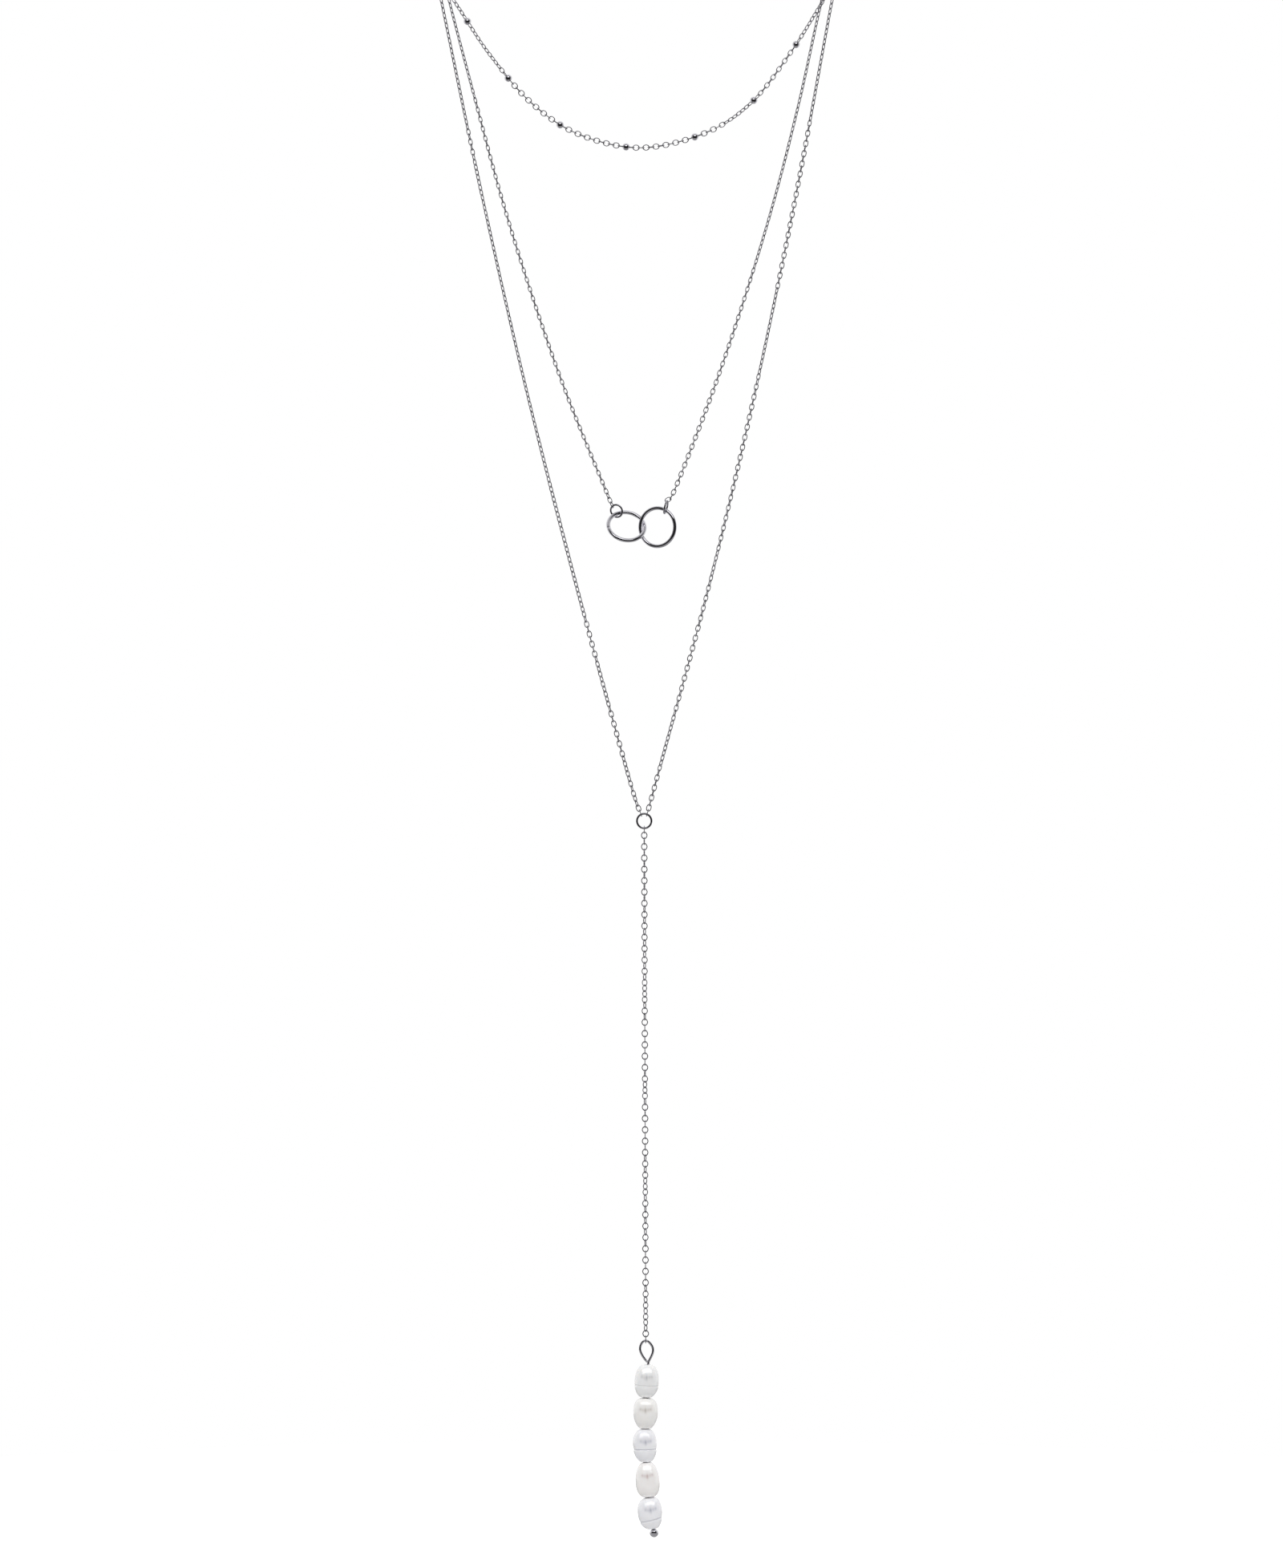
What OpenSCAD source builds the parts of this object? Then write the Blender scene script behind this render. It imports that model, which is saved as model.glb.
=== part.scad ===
// Three-strand lariat necklace, in millimetres. The origin is the middle of the neck loop at
// the height of the nape, +Z is up and -Y is the front.

/* [Plain chain] */
// Distance from one link to the next
link_pitch = 1.128; // [1.05:0.001:1.3]
// Width of a link over its wire
link_w = 1.28; // [1.2:0.01:1.5]
// Wire of the links
link_wire = 0.25; // [0.2:0.01:0.28]
// Envelope of the chain in the middle and the long strand
chain_d = 1.1; // [0.9:0.05:1.2]

/* [Station strand] */
// Envelope of the finer chain of the short strand
station_chain_d = 0.9; // [0.7:0.05:1]
// Silver bead
bead_d = 1.5; // [1.4:0.05:2]
// Distance from bead to bead along the strand
bead_pitch = 14; // [10:0.5:20]
// Shift of the bead nearest the middle, to the wearer's right
bead_shift = 2.5; // [0:0.1:6]
// Bare chain at each end of the short strand
bead_run_in = 8; // [6:1:12]

/* [Linked rings] */
// Outer diameter of the left ring
ring_left_od = 8.12; // [7.8:0.02:8.5]
// Wire of the left ring
ring_left_wire = 0.82; // [0.7:0.02:0.86]
// Outer diameter of the right ring
ring_right_od = 8.4; // [8:0.02:8.8]
// Wire of the right ring
ring_right_wire = 0.77; // [0.7:0.01:0.8]
// How far the two rings reach into each other, wire centre to wire centre
ring_lap = 0.88; // [0.8:0.02:1]
// Outer diameter of the two jump rings
jump_od = 2.9; // [2.8:0.05:3.2]
// Wire of the two jump rings
jump_wire = 0.38; // [0.3:0.01:0.4]

/* [Y ring and drop chain] */
// Outer diameter of the ring that joins the long strand and the drop
y_ring_od = 3.3; // [3:0.05:3.8]
// Wire of that ring
y_ring_wire = 0.42; // [0.35:0.01:0.5]
// Links in the drop, an odd number so that the last one stands edge on
drop_links = 91; // [61:2:111]
// Lean of the drop chain from plumb, in degrees
drop_lean = 0.17; // [0:0.01:0.5]

/* [Head pin] */
// Wire of the pin and its eye
pin_wire = 0.5; // [0.4:0.02:0.5]
// Outer diameter of the eye
eye_od = 3.1; // [2.9:0.05:3.5]
// From the centre of the eye to where its wire closes
eye_neck = 2.9; // [2.6:0.1:3.4]
// Radius of the pin's bow
pin_bow_r = 146; // [120:1:400]
// Ball at the foot of the pin
ball_d = 1.7; // [1.4:0.05:2]

/* [Pearls] */
// Mean length of a pearl along the pin
pearl_l = 6.56; // [6:0.02:7.5]
// Mean width of a pearl
pearl_d = 4.85; // [4.4:0.05:5.2]
// Radius of a pearl's long side
pearl_side_r = 6.5; // [6:0.1:8]
// Radius of a pearl's shoulder
pearl_shoulder_r = 0.9; // [0.7:0.05:1.2]
// Depth of a growth groove
groove_depth = 0.08; // [0.04:0.01:0.12]

/* [Clasp] */
// Outer diameter of the end ring of each side
end_ring_od = 5; // [4.8:0.1:5.6]
// Wire of the end rings
end_ring_wire = 0.6; // [0.5:0.05:0.7]
// Overall length of the clasp
clasp_l = 12; // [11:0.5:14]
// Thickness of the clasp
clasp_t = 1.4; // [1:0.1:1.8]
// Outer diameter of the clasp's eye
clasp_eye_od = 2.6; // [2.5:0.1:3]
// Outer diameter of the clasp's claw
clasp_claw_od = 4.4; // [4.2:0.1:5]
// Metal round the clasp's two holes
clasp_rim = 0.6; // [0.5:0.05:0.65]

/* [Clearances] */
// Between metal pieces that hang in one another
hang_gap = 0.1; // [0.08:0.01:0.12]
// Round what passes through a bore
bore_gap = 0.1; // [0.08:0.01:0.14]

/* [Hidden] */

wire_fn = 24;
ring_fn = 96;
tube_sides = 8;
spline_steps = 6;
tube_steps = 2;

// Nape, the angle between the strands where they leave an end ring, and their common pull forwards
neck_back_y = 51.5;
strand_fan = 24;
strand_pull = 15;

// Routes of the strands, by hand. Each list runs from the nape forwards, on the +X side, as far
// as the top of the chest, and the fronts run on down from there.
short_nape = [[29, 41.5, -2], [47.3, 20, -10], [53.8, -7, -22], [50.3, -31, -36], [42.4, -46.5, -51]];
middle_nape = [
  [29, 44.5, -3], [48.8, 23.5, -9.5], [56, -1, -18.5], [54.6, -24, -27], [47, -43.5, -38], [40, -52, -49]
];
long_nape = [
  [29.5, 46.5, -5.5], [50.3, 25, -12], [58, -3, -21], [56.2, -26, -28], [48, -46.5, -38], [41.3, -54.3, -49]
];
short_front = [
  [-35.8, -50.7, -61], [-29.5, -51, -70.5], [-21.2, -51, -80.2], [-11.6, -51, -86.6], [0.9, -51, -89.3],
  [13.8, -51, -86.3], [23, -51, -80.2], [30.6, -51, -70.5], [36.6, -50.7, -61]
];
middle_front_left = [
  [-37.2, -53, -61], [-32.2, -53, -80], [-27, -52.8, -99.3], [-21, -52.5, -118.6], [-14.3, -52, -137.8],
  [-6.5, -51.5, -157]
];
middle_front_right = [
  [36.7, -53, -61], [32.5, -53.2, -80], [27.6, -53.6, -99.3], [21.8, -54, -118.6], [15.3, -54.4, -137.8],
  [7.9, -54.8, -157]
];
long_front_left = [
  [-38.8, -55, -61], [-30.8, -55, -99.3], [-22, -55, -137.8], [-12.2, -55, -176.2], [-1.7, -55, -214.6]
];
long_front_right = [
  [38.8, -55, -61], [31.7, -55, -99.3], [23.7, -55, -137.8], [14.6, -55, -176.2], [4.2, -55, -214.6]
];

// Turn of each ring: tilt of its axis from +Z, then the direction of that axis round +Z
ring_left_turn = [52.2, -81];
ring_right_turn = [90, 64.8];
jump_left_turn = [73.9, 65.2];
jump_right_turn = [76.9, 169];
y_ring_turn = [90, -90];
end_ring_turn = [0, 0];

// Where the linked rings meet, and their height and depth
ring_meet_x = 1.13;
ring_left_yz = [-53, -164.98];
ring_right_yz = [-54.24, -165.19];
y_ring_c = [1.5, -55, -223.76];

// Places on a ring, in degrees from its highest point, and the fall of a chain from plumb
jump_left_on_ring = -24.9;
jump_left_lift_turn = 10;
jump_right_on_ring = -26.4;
jump_right_lift_turn = -12.7;
link_on_jump_left = 37;
link_on_jump_right = 0;
link_on_y_left = -27;
link_on_y_right = 23;
middle_left_fall = -24;
middle_right_fall = 30;
long_left_fall = -16.5;
long_right_fall = 16;

// Head pin: lean of the eye, and of the pin where it leaves the eye
eye_lean = 9;
pin_start_lean = -4.7;
// From the close of the eye to the first pearl
pin_bare = 0.6;

// Pearls from the top, as shares of pearl_l and pearl_d: length, width, the body's shift beside
// the pin, and the height of a growth groove above the middle
PEARLS = [
  [1.01, 1, 0, -0.12],
  [0.945, 1.01, 0, 0.3],
  [1.01, 0.98, -0.05, -0.1],
  [1.07, 0.99, -0.02, 0.28],
  [0.965, 1.01, -0.05, -0.2]
];
col_long = 0;
col_wide = 1;
col_side = 2;
col_groove = 3;
pearl_gap = 0.1;

link_l = link_pitch + 2 * link_wire + hang_gap;
link_reach = link_l - link_wire;
ring_left_r = (ring_left_od - ring_left_wire) / 2;
ring_right_r = (ring_right_od - ring_right_wire) / 2;
jump_r = (jump_od - jump_wire) / 2;
y_ring_r = (y_ring_od - y_ring_wire) / 2;
end_ring_r = (end_ring_od - end_ring_wire) / 2;
eye_r = (eye_od - pin_wire) / 2;
pearl_hole = pin_wire + 2 * bore_gap + 0.1;
bead_bore = station_chain_d + 2 * bore_gap;
clasp_eye_hole = clasp_eye_od - 2 * clasp_rim;
clasp_claw_hole = clasp_claw_od - 2 * clasp_rim;
// An end ring curves inside the thickness of the clasp, so it needs that much more room there
end_ring_bore_r = end_ring_r - end_ring_wire / 2;
end_ring_sag = end_ring_bore_r - sqrt(pow(end_ring_bore_r, 2) - pow(clasp_t / 2, 2));
end_ring_x = clasp_l / 2 - clasp_rim - end_ring_wire / 2 - hang_gap - end_ring_sag + end_ring_r;

function unit(v) = v / norm(v);
function mirrored(points) = [for (p = points) [-p[0], p[1], p[2]]];
function reversed(points) = [for (i = [len(points) - 1 : -1 : 0]) points[i]];
function sum(list, n) = n < 1 ? 0 : list[n - 1] + sum(list, n - 1);

// Directions in the plane of a turned ring: its highest point, and the point a quarter on
function ring_up(turn) = [-cos(turn[0]) * cos(turn[1]), -cos(turn[0]) * sin(turn[1]), sin(turn[0])];
function ring_side(turn) = [-sin(turn[1]), cos(turn[1]), 0];
function ring_dir(turn, a) = ring_up(turn) * cos(a) + ring_side(turn) * sin(a);
function ring_tangent(turn, a) = ring_side(turn) * cos(a) - ring_up(turn) * sin(a);

// Direction of a chain that falls at an angle from plumb, seen from the front, pointing up it
function fall_dir(a) = [sin(a), 0, cos(a)];
function polar(d) = acos(d[2]);
function azimuth(d) = atan2(d[1], d[0]);
// Roll that sets a link across a wire that runs along t
function roll_across(d, t) = atan2(
  -t * [cos(polar(d)) * cos(azimuth(d)), cos(polar(d)) * sin(azimuth(d)), -sin(polar(d))],
  t * [-sin(azimuth(d)), cos(azimuth(d)), 0]
);
// Centre of the near wire of a link that hangs on a wire at p
function link_near(p, d, wire) = p - d * ((wire + link_wire) / 2 + hang_gap);
// Where a strand's tube starts, inside the far bend of its end link
function tube_start(p, d, wire) = link_near(p, d, wire) + d * (link_reach - link_wire);

ring_left_c = [
  ring_meet_x + ring_lap / 2 - ring_left_r * norm([ring_side(ring_left_turn)[0], ring_up(ring_left_turn)[0]]),
  ring_left_yz[0], ring_left_yz[1]
];
ring_right_c = [
  ring_meet_x - ring_lap / 2 + ring_right_r * abs(ring_side(ring_right_turn)[0]),
  ring_right_yz[0], ring_right_yz[1]
];

function jump_lift(wire) = jump_r - (jump_wire + wire) / 2 - 1.4 * hang_gap;
jump_left_c = ring_left_c + ring_left_r * ring_dir(ring_left_turn, jump_left_on_ring)
  + jump_lift(ring_left_wire) * ring_dir(jump_left_turn, jump_left_lift_turn);
jump_right_c = ring_right_c + ring_right_r * ring_dir(ring_right_turn, jump_right_on_ring)
  + jump_lift(ring_right_wire) * ring_dir(jump_right_turn, jump_right_lift_turn);

// Where each strand's end link hangs: the wire it holds, the way the chain goes, that wire's run
jump_left_p = jump_left_c + jump_r * ring_dir(jump_left_turn, link_on_jump_left);
jump_right_p = jump_right_c + jump_r * ring_dir(jump_right_turn, link_on_jump_right);
y_left_p = y_ring_c + y_ring_r * ring_dir(y_ring_turn, link_on_y_left);
y_right_p = y_ring_c + y_ring_r * ring_dir(y_ring_turn, link_on_y_right);
jump_left_t = ring_tangent(jump_left_turn, link_on_jump_left);
jump_right_t = ring_tangent(jump_right_turn, link_on_jump_right);
y_left_t = ring_tangent(y_ring_turn, link_on_y_left);
y_right_t = ring_tangent(y_ring_turn, link_on_y_right);

// A strand's place on the end ring: 1 for the outer strand, 0 for the middle, -1 for the inner
function nape_angle(place) = strand_fan * place - strand_pull;
function nape_dir(side, place) = [side * cos(nape_angle(place)), sin(nape_angle(place)), 0];
function nape_p(side, place) = [side * end_ring_x, neck_back_y, 0] + end_ring_r * nape_dir(side, place);
function nape_t(side, place) = [-nape_dir(side, place)[1], nape_dir(side, place)[0], 0];
function nape_start(side, place) = tube_start(nape_p(side, place), nape_dir(side, place), end_ring_wire);

// Catmull-Rom curve through hand-placed points
function knot(points, i) = points[max(0, min(len(points) - 1, i))];
function curve_at(points, i, u) =
  let (a = knot(points, i - 1), b = knot(points, i), c = knot(points, i + 1), d = knot(points, i + 2))
  b + u * ((c - a) / 2 + u * (a - 2.5 * b + 2 * c - 0.5 * d + u * (1.5 * (b - c) + 0.5 * (d - a))));
function curve(points, steps) = [
  for (i = [0 : len(points) - 2], k = [0 : steps - 1]) curve_at(points, i, k / steps),
  points[len(points) - 1]
];

// Lengths along a polyline, and the point at a given length
function lengths(line) = [
  for (i = 0, s = 0; i < len(line); s = s + (i < len(line) - 1 ? norm(line[i + 1] - line[i]) : 0), i = i + 1) s
];
function at_length(line, marks, s) =
  let (i = max([for (k = [0 : len(line) - 2]) if (marks[k] <= s) k]))
  line[i] + (line[i + 1] - line[i]) * (s - marks[i]) / (marks[i + 1] - marks[i]);

short_route = concat(
  [nape_start(-1, -1)], mirrored(short_nape), short_front, reversed(short_nape), [nape_start(1, -1)]
);
short_line = curve(short_route, spline_steps);
short_marks = lengths(short_line);
short_length = short_marks[len(short_marks) - 1];
bead_middle = short_length / 2 - bead_shift;
bead_first = ceil((bead_run_in - bead_middle) / bead_pitch);
bead_last = floor((short_length - bead_run_in - bead_middle) / bead_pitch);
// The tube is straight for half a pitch round each bead
bead_flat = bead_pitch / 4;
short_tube = concat(
  [short_line[0]],
  [for (i = [bead_first : bead_last], s = [-1, 1])
    at_length(short_line, short_marks, bead_middle + i * bead_pitch + s * bead_flat)],
  [short_line[len(short_line) - 1]]
);

middle_left_tube = curve(concat(
  [nape_start(-1, 0)], mirrored(middle_nape), middle_front_left,
  [tube_start(jump_left_p, fall_dir(middle_left_fall), jump_wire)]), tube_steps);
middle_right_tube = curve(concat(
  [nape_start(1, 0)], middle_nape, middle_front_right,
  [tube_start(jump_right_p, fall_dir(middle_right_fall), jump_wire)]), tube_steps);
long_left_tube = curve(concat(
  [nape_start(-1, 1)], mirrored(long_nape), long_front_left,
  [tube_start(y_left_p, fall_dir(long_left_fall), y_ring_wire)]), tube_steps);
long_right_tube = curve(concat(
  [nape_start(1, 1)], long_nape, long_front_right,
  [tube_start(y_right_p, fall_dir(long_right_fall), y_ring_wire)]), tube_steps);

// Drop chain: it hangs from the foot of the Y ring
drop_dir = [sin(drop_lean), 0, -cos(drop_lean)];
drop_top = link_near(y_ring_c + y_ring_r * ring_dir(y_ring_turn, 180), drop_dir, y_ring_wire);
drop_foot = drop_top + drop_dir * ((drop_links - 1) * link_pitch + link_reach);

// Head pin: the eye's centre, its closing point, and the pin's arc down from there
eye_c = drop_foot + [0, 0, (link_wire + pin_wire) / 2 + hang_gap - eye_r];
eye_close = eye_c + eye_neck * [sin(eye_lean), 0, -cos(eye_lean)];
eye_half = asin(eye_r / eye_neck);
function pin_turn(s) = pin_start_lean + s / pin_bow_r * 180 / PI;
function pin_at(s) = eye_close + pin_bow_r * [
  cos(pin_start_lean) - cos(pin_turn(s)), 0, sin(pin_start_lean) - sin(pin_turn(s))
];
pearl_lengths = [for (p = PEARLS) p[col_long] * pearl_l];
function pearl_place(i) = pin_bare + sum(pearl_lengths, i) + pearl_lengths[i] / 2;
ball_place = pin_bare + sum(pearl_lengths, len(PEARLS))
  + sqrt(pow(ball_d / 2 + hang_gap, 2) - pow(pearl_hole / 2, 2));

// A ring of round wire with its middle at c
module ring(c, r, wire, turn) {
  translate(c) rotate([0, turn[0], turn[1]])
    rotate_extrude($fn = ring_fn) translate([r, 0]) circle(d = wire, $fn = wire_fn);
}

// Half a turn of link wire, in the XZ plane and open downwards
module link_bend() {
  rotate([90, 0, 0]) rotate_extrude(angle = 180, $fn = ring_fn)
    translate([(link_w - link_wire) / 2, 0]) circle(d = link_wire, $fn = wire_fn);
}

// One oval link round the origin, long along Z and flat in the XZ plane
module oval_link() {
  half = (link_l - link_w) / 2;
  translate([0, 0, half]) link_bend();
  translate([0, 0, -half]) rotate([0, 180, 0]) link_bend();
  for (side = [-1, 1]) {
    translate([side * (link_w - link_wire) / 2, 0, 0])
      cylinder(d = link_wire, h = 2 * half, center = true, $fn = wire_fn);
  }
}

// The end link of a strand, hung on a wire at p that runs along t, with its chain going along d
module end_link(p, d, t, wire) {
  translate(link_near(p, d, wire) + d * link_reach / 2)
    rotate([0, polar(d), azimuth(d)])
      rotate([0, 0, roll_across(d, t)])
        oval_link();
}

// A tube along a polyline, its section turned to face away from the neck's axis
module tube(line, d) {
  n = len(line);
  rings = [for (i = [0 : n - 1])
    let (
      t = unit(knot(line, i + 1) - knot(line, i - 1)),
      out = unit([line[i][0], line[i][1], 0]),
      a = unit(out - (out * t) * t),
      b = cross(t, a)
    )
    for (k = [0 : tube_sides - 1])
      line[i] + d / 2 * (a * cos(360 * k / tube_sides) + b * sin(360 * k / tube_sides))
  ];
  sides = [for (i = [0 : n - 2], k = [0 : tube_sides - 1])
    let (j = (k + 1) % tube_sides, lo = i * tube_sides, hi = lo + tube_sides)
    each [[lo + k, hi + k, hi + j], [lo + k, hi + j, lo + j]]
  ];
  first = [for (k = [0 : tube_sides - 1]) k];
  last = [for (k = [tube_sides - 1 : -1 : 0]) (n - 1) * tube_sides + k];
  polyhedron(points = rings, faces = concat([first], sides, [last]));
}

module short_chain() {
  color("silver") {
    tube(short_tube, station_chain_d);
    for (side = [-1, 1]) {
      end_link(nape_p(side, -1), nape_dir(side, -1), nape_t(side, -1), end_ring_wire);
    }
  }
}

// A drilled bead on the middle of each straight stretch of the short strand
module station_beads() {
  color("silver")
    for (i = [0 : bead_last - bead_first]) {
      a = short_tube[1 + 2 * i];
      b = short_tube[2 + 2 * i];
      d = unit(b - a);
      translate((a + b) / 2) rotate([0, polar(d), azimuth(d)]) difference() {
        sphere(d = bead_d, $fn = ring_fn);
        cylinder(d = bead_bore, h = 2 * bead_d, center = true, $fn = ring_fn);
      }
    }
}

module middle_chain_left() {
  color("silver") {
    tube(middle_left_tube, chain_d);
    end_link(nape_p(-1, 0), nape_dir(-1, 0), nape_t(-1, 0), end_ring_wire);
    end_link(jump_left_p, fall_dir(middle_left_fall), jump_left_t, jump_wire);
  }
}

module middle_chain_right() {
  color("silver") {
    tube(middle_right_tube, chain_d);
    end_link(nape_p(1, 0), nape_dir(1, 0), nape_t(1, 0), end_ring_wire);
    end_link(jump_right_p, fall_dir(middle_right_fall), jump_right_t, jump_wire);
  }
}

module long_chain_left() {
  color("silver") {
    tube(long_left_tube, chain_d);
    end_link(nape_p(-1, 1), nape_dir(-1, 1), nape_t(-1, 1), end_ring_wire);
    end_link(y_left_p, fall_dir(long_left_fall), y_left_t, y_ring_wire);
  }
}

module long_chain_right() {
  color("silver") {
    tube(long_right_tube, chain_d);
    end_link(nape_p(1, 1), nape_dir(1, 1), nape_t(1, 1), end_ring_wire);
    end_link(y_right_p, fall_dir(long_right_fall), y_right_t, y_ring_wire);
  }
}

module ring_left() {
  color("lightgray") ring(ring_left_c, ring_left_r, ring_left_wire, ring_left_turn);
}

module ring_right() {
  color("lightgray") ring(ring_right_c, ring_right_r, ring_right_wire, ring_right_turn);
}

module jump_ring_left() {
  color("silver") ring(jump_left_c, jump_r, jump_wire, jump_left_turn);
}

module jump_ring_right() {
  color("silver") ring(jump_right_c, jump_r, jump_wire, jump_right_turn);
}

module y_ring() {
  color("silver") ring(y_ring_c, y_ring_r, y_ring_wire, y_ring_turn);
}

// One link of the drop, counted from the top. Every other link stands edge on.
module drop_link(number) {
  translate(drop_top + drop_dir * (link_reach / 2 + (number - 1) * link_pitch))
    rotate([0, -drop_lean, 0])
      rotate([0, 0, 90 * (number % 2)])
        oval_link();
}

module drop_chain() {
  color("silver") for (number = [1 : drop_links - 1]) drop_link(number);
}

module drop_end_link() {
  color("silver") drop_link(drop_links);
}

// The pin: its eye, the two legs that close it, the bowed pin and the ball at its foot
module head_pin() {
  color("silver") {
    translate(eye_c) rotate([0, -eye_lean, 0]) {
      rotate([90, 0, 0]) rotate([0, 0, -eye_half]) rotate_extrude(angle = 180 + 2 * eye_half, $fn = ring_fn)
        translate([eye_r, 0]) circle(d = pin_wire, $fn = wire_fn);
      for (side = [-1, 1]) {
        translate([0, 0, -eye_neck]) rotate([0, side * eye_half, 0])
          cylinder(d = pin_wire, h = sqrt(pow(eye_neck, 2) - pow(eye_r, 2)), $fn = wire_fn);
      }
    }
    translate(eye_close) sphere(d = 1.2 * pin_wire, $fn = wire_fn);
    translate(eye_close + pin_bow_r * [cos(pin_start_lean), 0, sin(pin_start_lean)])
      rotate([90, 0, 0]) rotate([0, 0, 180 + pin_start_lean])
        rotate_extrude(angle = pin_turn(ball_place) - pin_start_lean, $fn = ring_fn)
          translate([pin_bow_r, 0]) circle(d = pin_wire, $fn = wire_fn);
    translate(pin_at(ball_place)) sphere(d = ball_d, $fn = ring_fn);
  }
}

// Half section of a pearl: a long arc for its side, a small arc for each shoulder, flat ends
module pearl_section(l, d) {
  shoulder_z = l / 2 - pearl_shoulder_r;
  shoulder_x = d / 2 - pearl_side_r + sqrt(pow(pearl_side_r - pearl_shoulder_r, 2) - pow(shoulder_z, 2));
  meet_z = shoulder_z * pearl_side_r / (pearl_side_r - pearl_shoulder_r);
  intersection() {
    union() {
      translate([0, -l / 2]) square([shoulder_x, l]);
      for (side = [-1, 1]) {
        translate([shoulder_x, side * shoulder_z]) circle(r = pearl_shoulder_r, $fn = ring_fn);
      }
      intersection() {
        translate([d / 2 - pearl_side_r, 0]) circle(r = pearl_side_r, $fn = ring_fn);
        translate([0, -meet_z]) square([d, 2 * meet_z]);
      }
    }
    translate([0, -l / 2]) square([d, l]);
  }
}

// A drilled pearl on the pin, with a faint growth groove round it
module pearl(i) {
  row = PEARLS[i];
  l = pearl_l * row[col_long] - pearl_gap;
  d = pearl_d * row[col_wide];
  groove_z = row[col_groove] * l;
  groove_x = d / 2 - pearl_side_r + sqrt(pow(pearl_side_r, 2) - pow(groove_z, 2));
  groove_r = 2 * groove_depth;
  color("ivory")
    translate(pin_at(pearl_place(i))) rotate([0, -pin_turn(pearl_place(i)), 0]) difference() {
      translate([row[col_side] * pearl_d, 0, 0]) difference() {
        rotate_extrude($fn = ring_fn) pearl_section(l, d);
        rotate_extrude($fn = ring_fn)
          translate([groove_x + groove_r - groove_depth, groove_z]) circle(r = groove_r, $fn = wire_fn);
      }
      cylinder(d = pearl_hole, h = 2 * l, center = true, $fn = ring_fn);
    }
}

module pearl_1() { pearl(0); }
module pearl_2() { pearl(1); }
module pearl_3() { pearl(2); }
module pearl_4() { pearl(3); }
module pearl_5() { pearl(4); }

module end_ring_left() {
  color("silver") ring([-end_ring_x, neck_back_y, 0], end_ring_r, end_ring_wire, end_ring_turn);
}

module end_ring_right() {
  color("silver") ring([end_ring_x, neck_back_y, 0], end_ring_r, end_ring_wire, end_ring_turn);
}

// Plain hidden clasp in one piece: an eye on the left, a claw on the right, a body between
module clasp() {
  eye_x = (clasp_eye_od - clasp_l) / 2;
  claw_x = (clasp_l - clasp_claw_od) / 2;
  color("silver")
    translate([0, neck_back_y, 0]) rotate([90, 0, 0])
      linear_extrude(clasp_t, center = true) difference() {
        union() {
          translate([eye_x, 0]) circle(d = clasp_eye_od, $fn = ring_fn);
          translate([claw_x, 0]) circle(d = clasp_claw_od, $fn = ring_fn);
          polygon([
            [eye_x, -0.3 * clasp_eye_od], [claw_x, -0.47 * clasp_claw_od],
            [claw_x, 0.47 * clasp_claw_od], [eye_x, 0.3 * clasp_eye_od]
          ]);
        }
        translate([eye_x, 0]) circle(d = clasp_eye_hole, $fn = ring_fn);
        translate([claw_x, 0]) circle(d = clasp_claw_hole, $fn = ring_fn);
      }
}

short_chain();
station_beads();
middle_chain_left();
middle_chain_right();
ring_left();
ring_right();
jump_ring_left();
jump_ring_right();
long_chain_left();
long_chain_right();
y_ring();
drop_chain();
drop_end_link();
head_pin();
pearl_1();
pearl_2();
pearl_3();
pearl_4();
pearl_5();
end_ring_left();
end_ring_right();
clasp();
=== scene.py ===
import math
import random

import bpy
from mathutils import Matrix, Vector


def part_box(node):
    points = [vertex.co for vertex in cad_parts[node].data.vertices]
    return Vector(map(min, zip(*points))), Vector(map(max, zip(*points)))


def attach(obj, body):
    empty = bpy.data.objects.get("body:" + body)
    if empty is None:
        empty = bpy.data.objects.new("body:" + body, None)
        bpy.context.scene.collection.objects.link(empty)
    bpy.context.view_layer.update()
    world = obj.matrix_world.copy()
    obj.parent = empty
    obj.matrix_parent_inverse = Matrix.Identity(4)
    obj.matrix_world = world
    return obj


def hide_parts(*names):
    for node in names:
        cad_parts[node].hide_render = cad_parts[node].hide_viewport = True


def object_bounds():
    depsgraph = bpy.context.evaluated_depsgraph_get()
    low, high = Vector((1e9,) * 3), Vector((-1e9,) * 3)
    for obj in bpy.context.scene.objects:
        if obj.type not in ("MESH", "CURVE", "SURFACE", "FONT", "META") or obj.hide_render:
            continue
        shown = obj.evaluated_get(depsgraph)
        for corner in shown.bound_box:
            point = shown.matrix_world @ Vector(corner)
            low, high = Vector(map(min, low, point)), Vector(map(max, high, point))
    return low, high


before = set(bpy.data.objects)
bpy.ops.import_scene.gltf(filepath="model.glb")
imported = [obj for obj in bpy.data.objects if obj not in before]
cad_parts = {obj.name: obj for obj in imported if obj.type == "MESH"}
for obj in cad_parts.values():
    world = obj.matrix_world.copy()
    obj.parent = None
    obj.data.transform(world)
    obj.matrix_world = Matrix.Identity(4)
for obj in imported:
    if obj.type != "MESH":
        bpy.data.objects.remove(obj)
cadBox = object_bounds()
bpy.ops.object.select_all(action="DESELECT")
print("frame loaded")

mm = 0.001


def vec(point):
    # a place given in mm
    return Vector(point) * mm


def boxMiddle(node):
    low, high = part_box(node)
    return (low + high) / 2


def ringUp(turn):
    # highest point of a ring whose axis leans turn[0] degrees from up, towards turn[1]
    lean, way = math.radians(turn[0]), math.radians(turn[1])
    return Vector((-math.cos(lean) * math.cos(way), -math.cos(lean) * math.sin(way), math.sin(lean)))


def ringSide(turn):
    way = math.radians(turn[1])
    return Vector((-math.sin(way), math.cos(way), 0))


def ringDirection(turn, degrees):
    a = math.radians(degrees)
    return ringUp(turn) * math.cos(a) + ringSide(turn) * math.sin(a)


def ringTangent(turn, degrees):
    a = math.radians(degrees)
    return ringSide(turn) * math.cos(a) - ringUp(turn) * math.sin(a)


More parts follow.
